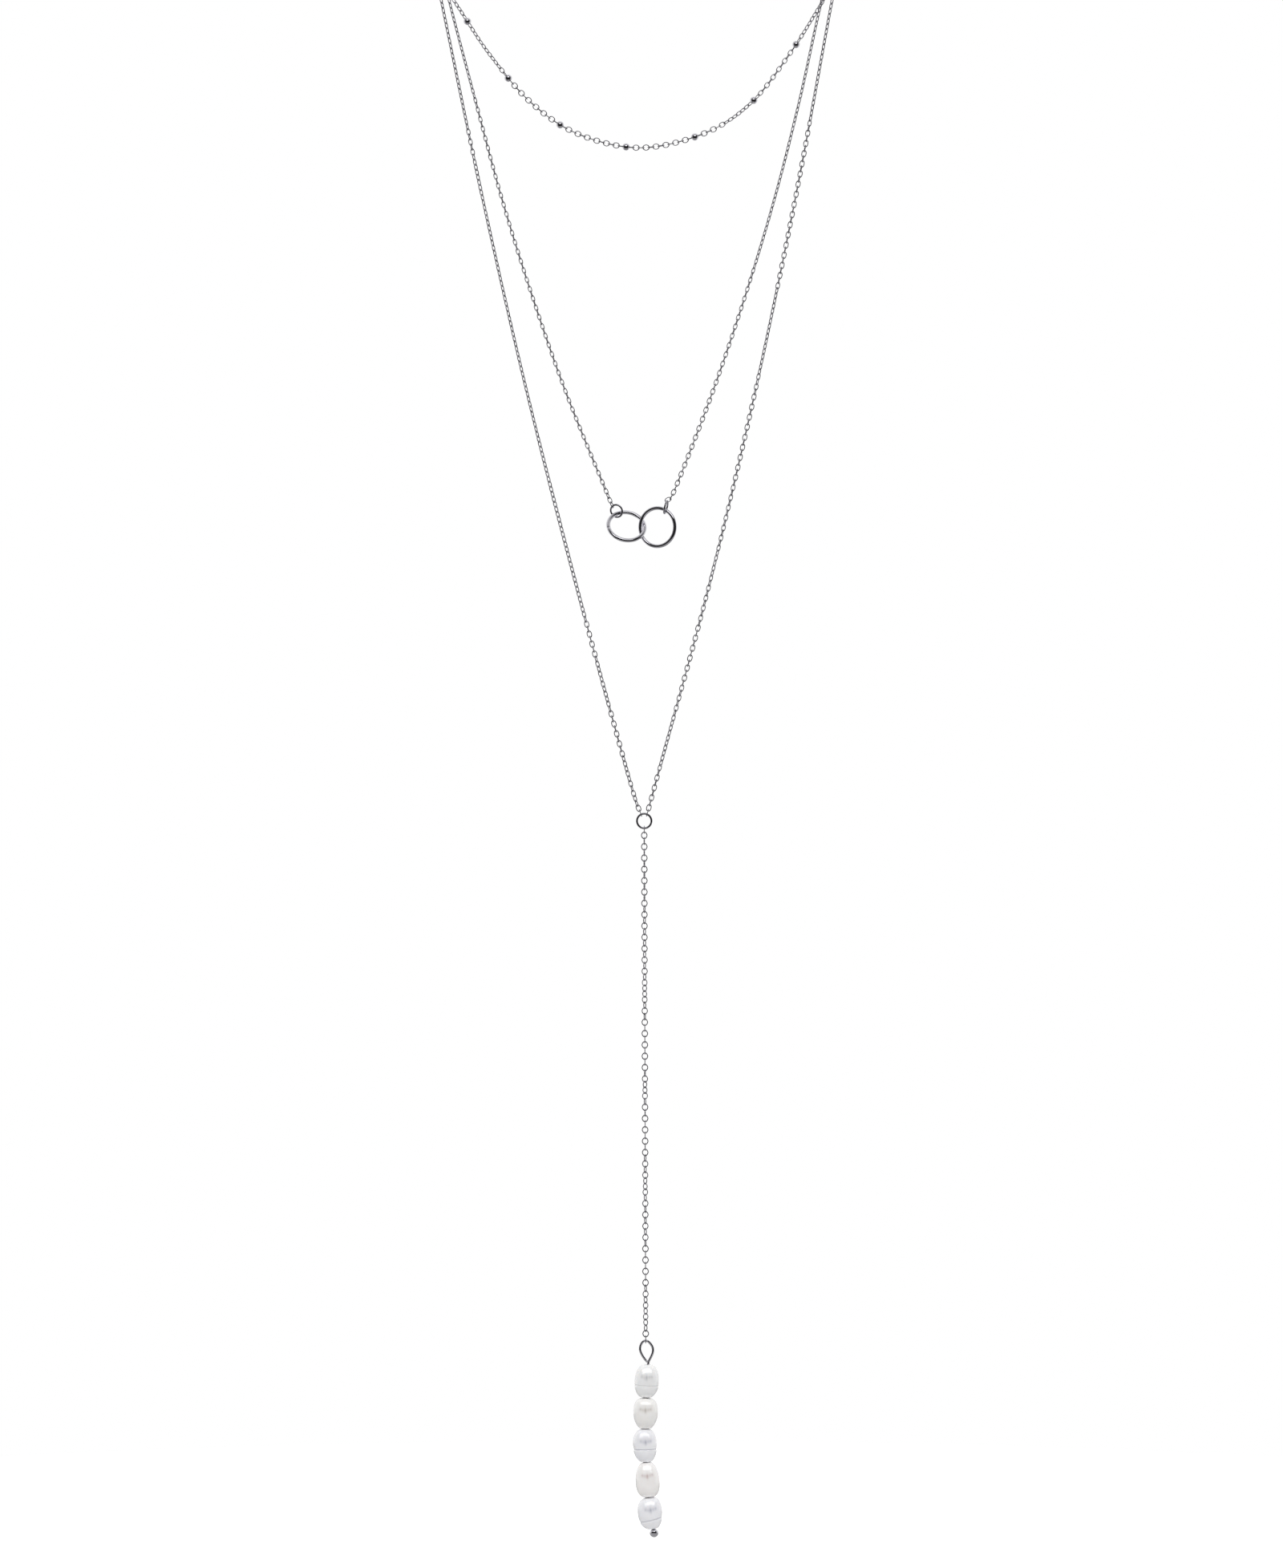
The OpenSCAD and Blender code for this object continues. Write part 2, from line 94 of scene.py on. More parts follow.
def fallDirection(degrees):
    a = math.radians(degrees)
    return Vector((math.sin(a), 0, math.cos(a)))


def smoothLine(points, steps):
    # a spline through all the points, with so many steps from each to the next
    line = []
    count = len(points)
    for i in range(count - 1):
        a, b = points[max(i - 1, 0)], points[i]
        c, d = points[i + 1], points[min(i + 2, count - 1)]
        for k in range(steps):
            u = k / steps
            inner = a - 2.5 * b + 2 * c - 0.5 * d + u * (1.5 * (b - c) + 0.5 * (d - a))
            line.append(b + u * ((c - a) / 2 + u * inner))
    return line + [points[-1]]


def lineMarks(line):
    # how far along the line each of its points is
    marks = [0.0]
    for a, b in zip(line, line[1:]):
        marks.append(marks[-1] + (b - a).length)
    return marks


def pointAt(line, marks, s):
    s = min(max(s, 0.0), marks[-1])
    low, high = 0, len(marks) - 1
    while high - low > 1:
        mid = (low + high) // 2
        if marks[mid] <= s:
            low = mid
        else:
            high = mid
    return line[low] + (line[high] - line[low]) * ((s - marks[low]) / (marks[high] - marks[low]))


def directionAt(line, marks, s, half):
    return (pointAt(line, marks, s + half) - pointAt(line, marks, s - half)).normalized()


def only(obj):
    bpy.ops.object.select_all(action="DESELECT")
    obj.select_set(True)
    bpy.context.view_layer.objects.active = obj


def place(obj, matrix):
    # puts a finished shape at its place, with the place kept in its mesh
    obj.matrix_world = matrix
    only(obj)
    bpy.ops.object.transform_apply(location=True, rotation=True, scale=True)


def addModifier(obj, name, kind, **values):
    modifier = obj.modifiers.new(name, kind)
    for key, value in values.items():
        setattr(modifier, key, value)
    only(obj)
    bpy.ops.object.modifier_apply(modifier=modifier.name)


def dress(obj, name, material, slot, body, *nodes):
    obj.name = name
    obj.data.name = name
    obj.data.materials.clear()
    obj.data.materials.append(material)
    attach(obj, body)
    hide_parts(*nodes)


photo = {
    "wide": 1600, "high": 1955, "pixel": 0.16, "zeroAcross": 794, "zeroUp": -60.0,
    "subjectDepth": -53.0, "distance": 1500.0, "sensor": 36.0, "clip": (0.05, 20),
}


def setCamera():
    across = (photo["wide"] / 2 - photo["zeroAcross"]) * photo["pixel"]
    up = photo["zeroUp"] - photo["high"] / 2 * photo["pixel"]
    bpy.ops.object.camera_add(
        location=vec((across, photo["subjectDepth"] - photo["distance"], up)),
        rotation=(math.radians(90), 0, 0))
    camera = bpy.context.object
    camera.data.sensor_width = photo["sensor"]
    camera.data.lens = photo["sensor"] * photo["distance"] / (photo["high"] * photo["pixel"])
    camera.data.clip_start, camera.data.clip_end = photo["clip"]
    bpy.context.scene.camera = camera


setCamera()

# the floor has one strength as the camera sees it, one in polished metal and one for the light it gives
studio = {
    "floorRadius": 300, "floorSides": 128, "floorDrop": 12, "floorGrey": 0.3, "floorRough": 0.9,
    "floorGlow": 0.15, "floorLight": 0.7, "floorFace": 0.9,
    "frontGlow": 0.02, "backGlow": 0.85, "depthSpan": (-0.55, 0.5),
    "topGlow": 0.2, "heightSpan": (0.55, 0.85), "backdrop": 1.0,
}
white = (1, 1, 1, 1)


def paleFloorMaterial():
    material = bpy.data.materials.new("paleFloor")
    material.use_nodes = True
    nodes, links = material.node_tree.nodes, material.node_tree.links
    shader = nodes["Principled BSDF"]
    grey = studio["floorGrey"]
    shader.inputs["Base Color"].default_value = (grey, grey, grey, 1)
    shader.inputs["Roughness"].default_value = studio["floorRough"]
    shader.inputs["Emission Color"].default_value = white
    path = nodes.new("ShaderNodeLightPath")
    around = nodes.new("ShaderNodeMapRange")
    around.inputs["To Min"].default_value = studio["floorLight"]
    around.inputs["To Max"].default_value = studio["floorGlow"]
    links.new(path.outputs["Is Glossy Ray"], around.inputs["Value"])
    glow = nodes.new("ShaderNodeMapRange")
    links.new(around.outputs[0], glow.inputs["To Min"])
    glow.inputs["To Max"].default_value = studio["floorFace"]
    links.new(path.outputs["Is Camera Ray"], glow.inputs["Value"])
    links.new(glow.outputs[0], shader.inputs["Emission Strength"])
    material.cycles.emission_sampling = "NONE"
    return material


def setFloor():
    low = cadBox[0]
    bpy.ops.mesh.primitive_circle_add(
        vertices=studio["floorSides"], radius=studio["floorRadius"] * mm, fill_type="NGON",
        location=(0, 0, low.z - studio["floorDrop"] * mm))
    floor = bpy.context.object
    floor.name = "paleFloor"
    floor.data.materials.append(paleFloorMaterial())


def softStep(nodes, links, source, span):
    step = nodes.new("ShaderNodeMapRange")
    step.interpolation_type = "SMOOTHSTEP"
    step.inputs["From Min"].default_value, step.inputs["From Max"].default_value = span
    links.new(source, step.inputs["Value"])
    return step


def setWorld():
    # dim in front, bright behind and a little glow overhead, with a plain white backdrop for the camera
    world = bpy.data.worlds.new("studio")
    bpy.context.scene.world = world
    world.use_nodes = True
    nodes, links = world.node_tree.nodes, world.node_tree.links
    nodes.clear()
    where = nodes.new("ShaderNodeTexCoord")
    split = nodes.new("ShaderNodeSeparateXYZ")
    links.new(where.outputs["Generated"], split.inputs[0])
    depth = softStep(nodes, links, split.outputs["Y"], studio["depthSpan"])
    depth.inputs["To Min"].default_value = studio["frontGlow"]
    depth.inputs["To Max"].default_value = studio["backGlow"]
    height = softStep(nodes, links, split.outputs["Z"], studio["heightSpan"])
    height.inputs["To Max"].default_value = studio["topGlow"]
    both = nodes.new("ShaderNodeMath")
    both.operation = "ADD"
    links.new(depth.outputs[0], both.inputs[0])
    links.new(height.outputs[0], both.inputs[1])
    surround = nodes.new("ShaderNodeBackground")
    surround.inputs["Color"].default_value = white
    links.new(both.outputs[0], surround.inputs["Strength"])
    backdrop = nodes.new("ShaderNodeBackground")
    backdrop.inputs["Color"].default_value = white
    backdrop.inputs["Strength"].default_value = studio["backdrop"]
    path = nodes.new("ShaderNodeLightPath")
    mix = nodes.new("ShaderNodeMixShader")
    links.new(path.outputs["Is Camera Ray"], mix.inputs["Fac"])
    links.new(surround.outputs[0], mix.inputs[1])
    links.new(backdrop.outputs[0], mix.inputs[2])
    out = nodes.new("ShaderNodeOutputWorld")
    links.new(mix.outputs[0], out.inputs["Surface"])


# the key and side boxes light everything, though the side ones stay out of reflections,
# and a wide box in front lights the pearls alone
softboxes = [
    {"name": "keyBox", "at": (0, -560, 300), "size": (640, 220), "power": 0.9,
     "mirrored": True, "pearls": False},
    {"name": "pearlBox", "at": (0, -560, 300), "size": (1700, 520), "power": 6.8,
     "mirrored": True, "pearls": True},
    {"name": "leftBox", "at": (-820, -330, -150), "size": (300, 700), "power": 0.35,
     "mirrored": False, "pearls": False},
    {"name": "rightBox", "at": (820, -330, -150), "size": (300, 700), "power": 0.35,
     "mirrored": False, "pearls": False},
]
pearlGroup = bpy.data.collections.new("pearls")


def setLights():
    aim = (cadBox[0] + cadBox[1]) / 2
    for box in softboxes:
        bpy.ops.object.light_add(type="AREA", location=vec(box["at"]))
        light = bpy.context.object
        light.name = box["name"]
        light.rotation_euler = (aim - light.location).to_track_quat("-Z", "Y").to_euler()
        light.data.shape = "RECTANGLE"
        light.data.size = box["size"][0] * mm
        light.data.size_y = box["size"][1] * mm
        light.data.energy = box["power"]
        light.visible_camera = False
        light.visible_glossy = box["mirrored"]
        if box["pearls"]:
            light.light_linking.receiver_collection = pearlGroup


setFloor()
setWorld()
setLights()
bpy.context.scene.view_settings.view_transform = "Standard"
print("camera, floor and lights set")


# noise keeps near its middle, so a look is spread over this part of it
noiseSpan = (0.3, 0.7)


def noiseNode(nodes, links, source, scale, detail):
    noise = nodes.new("ShaderNodeTexNoise")
    noise.inputs["Scale"].default_value = scale
    noise.inputs["Detail"].default_value = detail
    links.new(source, noise.inputs["Vector"])
    return noise


def rampNode(nodes, links, source, colours):
    ramp = nodes.new("ShaderNodeValToRGB")
    for element, position, colour in zip(ramp.color_ramp.elements, noiseSpan, colours):
        element.position = position
        element.color = (*colour, 1)
    links.new(source, ramp.inputs[0])
    return ramp


def rangeNode(nodes, links, source, low, high):
    span = nodes.new("ShaderNodeMapRange")
    span.inputs["From Min"].default_value, span.inputs["From Max"].default_value = noiseSpan
    span.inputs["To Min"].default_value = low
    span.inputs["To Max"].default_value = high
    links.new(source, span.inputs["Value"])
    return span


def bumpNode(nodes, links, source, strength, distance):
    bump = nodes.new("ShaderNodeBump")
    bump.inputs["Strength"].default_value = strength
    bump.inputs["Distance"].default_value = distance * mm
    links.new(source, bump.inputs["Height"])
    return bump


silver = {"toneDetail": 3, "hazeDetail": 2, "markDetail": 4, "markHeight": 0.05}


def silverMaterial(name, look):
    material = bpy.data.materials.new(name)
    material.use_nodes = True
    nodes, links = material.node_tree.nodes, material.node_tree.links
    shader = nodes["Principled BSDF"]
    shader.inputs["Metallic"].default_value = 1
    where = nodes.new("ShaderNodeTexCoord").outputs["Object"]
    tone = noiseNode(nodes, links, where, look["toneScale"], silver["toneDetail"])
    ramp = rampNode(nodes, links, tone.outputs["Fac"], (look["dull"], look["bright"]))
    links.new(ramp.outputs["Color"], shader.inputs["Base Color"])
    haze = noiseNode(nodes, links, where, look["hazeScale"], silver["hazeDetail"])
    gloss = rangeNode(nodes, links, haze.outputs["Fac"], look["glossy"], look["hazy"])
    links.new(gloss.outputs[0], shader.inputs["Roughness"])
    marks = noiseNode(nodes, links, where, look["markScale"], silver["markDetail"])
    bump = bumpNode(nodes, links, marks.outputs["Fac"], look["markDepth"], silver["markHeight"])
    links.new(bump.outputs[0], shader.inputs["Normal"])
    return material


chainSilver = silverMaterial("chainSilver", {
    "toneScale": 700, "dull": (0.31, 0.305, 0.33), "bright": (0.51, 0.50, 0.54),
    "hazeScale": 1500, "glossy": 0.14, "hazy": 0.26, "markScale": 5200, "markDepth": 0.2,
})
polishedSilver = silverMaterial("polishedSilver", {
    "toneScale": 420, "dull": (0.65, 0.64, 0.68), "bright": (0.85, 0.84, 0.89),
    "hazeScale": 600, "glossy": 0.05, "hazy": 0.12, "markScale": 2600, "markDepth": 0.12,
})


nacre = {
    "cloudScale": 260, "hazeScale": 900, "noiseDetail": 3, "glossy": 0.14, "hazy": 0.24,
    "layerScale": 420, "layerDistortion": 3, "layerDetail": 3, "layerDepth": 0.15, "layerHeight": 0.02,
    "sockets": {
        "IOR": 1.55, "Specular IOR Level": 0.8, "Subsurface Weight": 0.1,
        "Subsurface Radius": (0.8, 0.7, 0.6), "Subsurface Scale": 0.001,
        "Coat Weight": 0.6, "Coat Roughness": 0.15, "Coat IOR": 1.6,
    },
}


def pearlMaterial(name, look):
    # a point attribute mixes painted shade into the nacre along the growth lines' grooves, and painted
    # reflections of dark things in front into the dimples
    material = bpy.data.materials.new(name)
    material.use_nodes = True
    nodes, links = material.node_tree.nodes, material.node_tree.links
    shader = nodes["Principled BSDF"]
    where = nodes.new("ShaderNodeTexCoord").outputs["Object"]
    cloud = noiseNode(nodes, links, where, nacre["cloudScale"], nacre["noiseDetail"])
    ramp = rampNode(nodes, links, cloud.outputs["Fac"], (look["dull"], look["bright"]))
    paintedShadeReflection = nodes.new("ShaderNodeAttribute")
    paintedShadeReflection.attribute_name = "grooveShadeDabReflection"
    tone = nodes.new("ShaderNodeMix")
    tone.data_type = "RGBA"
    links.new(paintedShadeReflection.outputs["Fac"], tone.inputs[0])
    links.new(ramp.outputs["Color"], tone.inputs[6])
    tone.inputs[7].default_value = (*look["paintedShadeReflection"], 1)
    links.new(tone.outputs[2], shader.inputs["Base Color"])
    haze = noiseNode(nodes, links, where, nacre["hazeScale"], nacre["noiseDetail"])
    gloss = rangeNode(nodes, links, haze.outputs["Fac"], nacre["glossy"], nacre["hazy"])
    links.new(gloss.outputs[0], shader.inputs["Roughness"])
    layers = nodes.new("ShaderNodeTexWave")
    layers.bands_direction = "Z"
    layers.inputs["Scale"].default_value = nacre["layerScale"]
    layers.inputs["Distortion"].default_value = nacre["layerDistortion"]
    layers.inputs["Detail"].default_value = nacre["layerDetail"]
    links.new(where, layers.inputs["Vector"])
    bump = bumpNode(nodes, links, layers.outputs["Fac"], nacre["layerDepth"], nacre["layerHeight"])
    links.new(bump.outputs[0], shader.inputs["Normal"])
    for socket, value in nacre["sockets"].items():
        shader.inputs[socket].default_value = value
    return material


# the last colour of each look is the darker tone used for the painted shade in the grooves and the painted
# reflections in the dimples
pearlLooks = {
    "pearlWhite": {"dull": (0.91, 0.91, 0.915), "bright": (0.95, 0.95, 0.95), "paintedShadeReflection": (0.5, 0.5, 0.52)},
    "pearlIvory": {"dull": (0.925, 0.905, 0.885), "bright": (0.955, 0.945, 0.93), "paintedShadeReflection": (0.5, 0.45, 0.4)},
    "pearlCool": {"dull": (0.885, 0.885, 0.925), "bright": (0.93, 0.93, 0.955), "paintedShadeReflection": (0.42, 0.42, 0.5)},
    "pearlPink": {"dull": (0.93, 0.895, 0.88), "bright": (0.955, 0.935, 0.925), "paintedShadeReflection": (0.55, 0.42, 0.4)},
}
pearlSkins = {name: pearlMaterial(name, look) for name, look in pearlLooks.items()}
print("materials made")


# pitch, outside width and wire in mm, the sides' share of the wire, how pointed the ends are,
# and the play between links in mm
linkKinds = {
    "drop": {"pitch": 1.128, "wide": 1.38, "wire": 0.24, "slim": 0.8, "point": 1.2, "slack": 0.02},
    "long": {"pitch": 1.03, "wide": 1.14, "wire": 0.25, "slim": 0.72, "point": 0.92, "slack": 0.05},
    "middle": {"pitch": 0.98, "wide": 1.08, "wire": 0.24, "slim": 0.72, "point": 0.92, "slack": 0.05},
    "short": {"pitch": 1.0, "wide": 1.3, "wire": 0.23, "slim": 0.75, "point": 1.0, "slack": 0.02},
}


def linkLength(link):
    return link["pitch"] + 2 * link["wire"] + link["slack"]


linkSides = {"round": 14, "wire": 6}
ringPlay = 0.02


def modelLink(name, link):
    # an oval of wire, long along X and flat in XY, slimmer at its sides than where it holds the next
    long, wide = (linkLength(link) - link["wire"]) / 2 * mm, (link["wide"] - link["wire"]) / 2 * mm
    bpy.ops.mesh.primitive_torus_add(
        major_segments=linkSides["round"], minor_segments=linkSides["wire"],
        major_radius=long, minor_radius=link["wire"] / 2 * mm)
    model = bpy.context.object
    model.name = name
    for v in model.data.vertices:
        aim = Vector((v.co.x, v.co.y, 0)).normalized()
        ring = v.co - aim * long
        x, y = (math.copysign(abs(share) ** link["point"], share) for share in aim.xy)
        out = Vector((aim.x / long, aim.y / wide, 0)).normalized()
        full = link["slim"] + (1 - link["slim"]) * aim.x ** 2
        v.co = Vector((x * long, y * wide, 0)) + (out * ring.dot(aim) + Vector((0, 0, ring.z))) * full
    bpy.ops.object.shade_smooth()
    return model


# from this depth backwards a chain turns its face from straight ahead to away from the neck
facing = {"front": -48, "over": 25}


def faceFrame(centre, along):
    # two directions across the chain: the way it faces, and one beside it
    aside = min(max((centre.y / mm - facing["front"]) / facing["over"], 0.0), 1.0)
    out = Vector((centre.x * aside, centre.y, 0)).normalized()
    out = (out - along * out.dot(along)).normalized()
    return out, along.cross(out)


def rollOf(normal, centre, along):
    out, side = faceFrame(centre, along)
    return math.degrees(math.atan2(normal.dot(side), normal.dot(out)))


def nearestTurn(value, goal):
    return value + 180 * round((goal - value) / 180)


def twistAt(knots, share):
    # the turn and the fold, in degrees, at a share of the chain's length
    for low, high in zip(knots, knots[1:]):
        if share <= high[0]:
            u = (share - low[0]) / (high[0] - low[0])
            ease = u * u * (3 - 2 * u)
            return low[1] + (high[1] - low[1]) * ease, low[2] + (high[2] - low[2]) * ease
    return knots[-1][1:]


def linkMatrix(centre, along, degrees):
    out, side = faceFrame(centre, along)
    r = math.radians(degrees)
    normal = out * math.cos(r) + side * math.sin(r)
    beside = normal.cross(along)
    return Matrix.Translation(centre) @ Matrix((along, beside, normal)).transposed().to_4x4()


def chainPlaces(line, stops, pitch, startNormal, endNormal, twist, jitter, seed):
    # links in even steps between the stops, each a quarter turn on from the last one, less two folds
    marks = lineMarks(line)
    stops = [0.0] + stops + [marks[-1]]
    spots = []
    for a, b in zip(stops, stops[1:]):
        count = max(1, round((b - a) / (pitch * mm)))
        spots += [a + (b - a) * k / count for k in range(count)]
    spots.append(stops[-1])
    last = len(spots) - 1
    poses = [(pointAt(line, marks, s), directionAt(line, marks, s, pitch * mm / 2)) for s in spots]
    first = nearestTurn(rollOf(startNormal, *poses[0]), twist[0][1])
    end = nearestTurn(rollOf(endNormal, *poses[-1]) - 90 * last, twist[-1][1])
    knots = [(0, first, 0)] + twist + [(1, end, 0)]
    draw = random.Random(seed)
    places = []
    for i, (centre, along) in enumerate(poses):
        share = spots[i] / marks[-1]
        turn, fold = twistAt(knots, share)
        if i not in (0, last):
            turn += draw.uniform(-jitter, jitter) + fold * (1 - 2 * (i % 2))
        places.append(linkMatrix(centre, along, 90 * i + turn))
    return places


def layChain(model, places):
    copies = []
    for matrix in places:
        link = model.copy()
        link.data = model.data.copy()
        bpy.context.collection.objects.link(link)
        link.matrix_world = matrix
        copies.append(link)
    bpy.ops.object.select_all(action="DESELECT")
    for link in copies:
        link.select_set(True)
    bpy.context.view_layer.objects.active = copies[0]
    bpy.ops.object.join()
    bpy.ops.object.transform_apply(location=True, rotation=True, scale=True)
    return bpy.context.object


def endLinkCentre(p, along, ringWire, link):
    # the link's tip clears the ring's wire, though a thick wire presses a little into the link's sides
    near = p - along * (ringWire + link["wire"] + ringPlay) / 2 * mm
    return near + along * (linkLength(link) - link["wire"]) / 2 * mm


linkModels = {name: modelLink(name + "LinkModel", link) for name, link in linkKinds.items()}


# outside diameter and wire in mm, lean and way of the axis, and the place of the closed joint in degrees
# with the share of the wire that is left there
ringSizes = {
    "ring_left": {"od": 8.12, "wire": 0.82, "turn": (52.2, -81), "seam": 279, "seamDepth": 0.84},
    "ring_right": {"od": 8.4, "wire": 0.77, "turn": (90, 64.8), "seam": 200, "seamDepth": 0.95},
    "jump_ring_left": {"od": 2.9, "wire": 0.38, "turn": (73.9, 65.2), "seam": 250, "seamDepth": 0.86},
    "jump_ring_right": {"od": 2.9, "wire": 0.38, "turn": (76.9, 169), "seam": 100, "seamDepth": 0.86},
    "y_ring": {"od": 3.3, "wire": 0.42, "turn": (90, -90), "seam": 75, "seamDepth": 0.88},
    "end_ring_left": {"od": 5.0, "wire": 0.6, "turn": (0, 0), "seam": 20, "seamDepth": 0.9},
    "end_ring_right": {"od": 5.0, "wire": 0.6, "turn": (0, 0), "seam": 160, "seamDepth": 0.9},
}


ringSides = {"round": 120, "wire": 20}


def makeRing(node):
    size = ringSizes[node]
    radius = (size["od"] - size["wire"]) / 2 * mm
    bpy.ops.mesh.primitive_torus_add(
        major_segments=ringSides["round"], minor_segments=ringSides["wire"],
        major_radius=radius, minor_radius=size["wire"] / 2 * mm)
    ring = bpy.context.object
    # the joint where the wire's ends meet: one section drawn in a little
    step = math.radians(360 / ringSides["round"])
    a = round(math.radians(size["seam"]) / step) * step
    middle = Vector((radius * math.cos(a), radius * math.sin(a), 0))
    bpy.ops.object.mode_set(mode="EDIT")
    bpy.ops.mesh.select_all(action="DESELECT")
    bpy.ops.object.mode_set(mode="OBJECT")
    for v in ring.data.vertices:
        v.select = abs(math.atan2(v.co.y, v.co.x) % math.tau - a % math.tau) < step / 4
    bpy.ops.object.mode_set(mode="EDIT")
    shrink = size["seamDepth"]
    bpy.ops.transform.resize(value=(shrink, shrink, shrink), center_override=middle)
    bpy.ops.object.mode_set(mode="OBJECT")
    bpy.ops.object.shade_smooth()
    lean, way = (math.radians(degrees) for degrees in size["turn"])
    turn = Matrix.Rotation(way, 4, "Z") @ Matrix.Rotation(lean, 4, "Y")
    place(ring, Matrix.Translation(boxMiddle(node)) @ turn)
    return ring


for node, label in (
    ("ring_left", "linkedRingLeft"), ("ring_right", "linkedRingRight"),
    ("jump_ring_left", "jumpRingLeft"), ("jump_ring_right", "jumpRingRight"), ("y_ring", "yRing"),
    ("end_ring_left", "endRingLeft"), ("end_ring_right", "endRingRight"),
):
    bright = label.startswith("linked")
    skin, slotName = (polishedSilver, "polished_silver") if bright else (chainSilver, "chain_silver")
    dress(makeRing(node), label, skin, slotName, "strands", node)
print("rings made")


# degrees between the three strands at an end ring, how far they pull towards the front there,
# and the degrees of chance in each link's turn
strandForm = {"fan": 24, "pull": 15, "looseRoll": 2, "splineSteps": 24}
# the strands' lines in mm, round the right side of the neck and then down the front
shortNape = [(29, 41.5, -2), (47.3, 20, -10), (53.8, -7, -22), (50.3, -31, -36), (42.4, -46.5, -51)]
middleNape = [
    (29, 44.5, -3), (48.8, 23.5, -9.5), (56, -1, -18.5), (54.6, -24, -27), (47, -43.5, -38),
    (40, -52, -49),
]
longNape = [
    (29.5, 46.5, -5.5), (50.3, 25, -12), (58, -3, -21), (56.2, -26, -28), (48, -46.5, -38),
    (41.3, -54.3, -49),
]
shortFront = [
    (-35.8, -50.7, -61), (-29.5, -51, -70.5), (-21.2, -51, -80.2), (-11.6, -51, -86.6), (0.9, -51, -89.3),
    (13.8, -51, -86.3), (23, -51, -80.2), (30.6, -51, -70.5), (36.6, -50.7, -61),
]
middleFrontLeft = [
    (-37.2, -53, -61), (-32.2, -53, -80), (-27, -52.8, -99.3), (-21, -52.5, -118.6), (-14.3, -52, -137.8),
    (-6.5, -51.5, -157),
]
middleFrontRight = [
    (36.7, -53, -61), (32.5, -53.2, -80), (27.6, -53.6, -99.3), (21.8, -54, -118.6), (15.3, -54.4, -137.8),
    (7.9, -54.8, -157),
]
longFrontLeft = [
    (-38.8, -55, -61), (-30.8, -55, -99.3), (-22, -55, -137.8), (-12.2, -55, -176.2), (-1.7, -55, -214.6),
]
longFrontRight = [
    (38.8, -55, -61), (31.7, -55, -99.3), (23.7, -55, -137.8), (14.6, -55, -176.2), (4.2, -55, -214.6),
]


def mirrored(points):
    return [(-x, y, z) for x, y, z in points]


def napeDirection(side, rank):
    a = math.radians(strandForm["fan"] * rank - strandForm["pull"])
    return Vector((side * math.cos(a), math.sin(a), 0))


def napeEnd(side, rank, link):
    # the end link at the nape: its centre, the way the chain goes, and the run of the wire that it holds
    node = "end_ring_left" if side < 0 else "end_ring_right"
    size = ringSizes[node]
    along = napeDirection(side, rank)
    p = boxMiddle(node) + along * (size["od"] - size["wire"]) / 2 * mm
    return endLinkCentre(p, along, size["wire"], link), Vector((-along.y, along.x, 0))


def ringEnd(node, degrees, along, link):
    size = ringSizes[node]
    p = boxMiddle(node) + ringDirection(size["turn"], degrees) * (size["od"] - size["wire"]) / 2 * mm
    return endLinkCentre(p, along, size["wire"], link), ringTangent(size["turn"], degrees)


# twist: share of the length from the clasp, turn about the strand, and fold, which brings the planes of
# neighbouring links closer; a turn of 0 shows every other link open, and one of 45 shows them all alike
strands = {
    "middleChainLeft": {
        "node": "middle_chain_left", "side": -1, "rank": 0,
        "points": mirrored(middleNape) + middleFrontLeft,
        "ring": "jump_ring_left", "onRing": 37, "fall": -24, "link": "middle", "seed": 11,
        "twist": [(0.5, 45, 16), (0.65, 45, 16), (0.69, 25, 15), (0.97, 25, 15)],
    },
    "middleChainRight": {
        "node": "middle_chain_right", "side": 1, "rank": 0, "points": middleNape + middleFrontRight,
        "ring": "jump_ring_right", "onRing": 0, "fall": 30, "link": "middle", "seed": 12,
        "twist": [
            (0.5, 45, 16), (0.79, 45, 16), (0.83, 25, 15), (0.88, 20, 12), (0.93, 8, 4), (0.97, 8, 4),
        ],
    },
    "longChainLeft": {
        "node": "long_chain_left", "side": -1, "rank": 1, "points": mirrored(longNape) + longFrontLeft,
        "ring": "y_ring", "onRing": -27, "fall": -16.5, "link": "long", "seed": 13,
        "twist": [
            (0.45, 45, 16), (0.562, 45, 16), (0.572, 25, 10), (0.582, 25, 10), (0.59, 45, 9),
            (0.605, 45, 9), (0.613, 45, 16), (0.756, 45, 16), (0.764, 45, 12), (0.781, 45, 12),
            (0.791, 45, 7), (0.87, 45, 7), (0.884, 5, 2), (0.898, 5, 2), (0.905, 40, 5),
            (0.93, 40, 5), (0.936, 8, 2), (0.961, 8, 2), (0.967, 40, 4), (0.978, 40, 4), (0.985, 20, 2),
        ],
    },
    "longChainRight": {
        "node": "long_chain_right", "side": 1, "rank": 1, "points": longNape + longFrontRight,
        "ring": "y_ring", "onRing": 23, "fall": 16, "link": "long", "seed": 14,
        "twist": [
            (0.45, 45, 16), (0.56, 45, 16), (0.572, 12, 4), (0.663, 12, 4), (0.672, 45, 16),
            (0.718, 45, 16), (0.728, 28, 8), (0.741, 12, 4), (0.786, 12, 4), (0.796, 25, 10),
            (0.827, 25, 10), (0.837, 42, 12), (0.849, 42, 12), (0.857, 25, 8), (0.875, 25, 8),
            (0.885, 8, 3), (0.915, 8, 3), (0.925, 25, 8), (0.935, 25, 8), (0.943, 42, 10),
            (0.969, 42, 10), (0.976, 15, 4), (0.992, 10, 2),
        ],
    },
}

for label, strand in strands.items():
    link = linkKinds[strand["link"]]
    start, startWire = napeEnd(strand["side"], strand["rank"], link)
    along = fallDirection(strand["fall"])
    end, endWire = ringEnd(strand["ring"], strand["onRing"], along, link)
    line = smoothLine([start] + [vec(p) for p in strand["points"]] + [end], strandForm["splineSteps"])
    places = chainPlaces(
        line, [], link["pitch"], startWire, endWire,
        strand["twist"], strandForm["looseRoll"], strand["seed"])
    chain = layChain(linkModels[strand["link"]], places)
    dress(chain, label, chainSilver, "chain_silver", "strands", strand["node"])
print("middle and long strands laid")

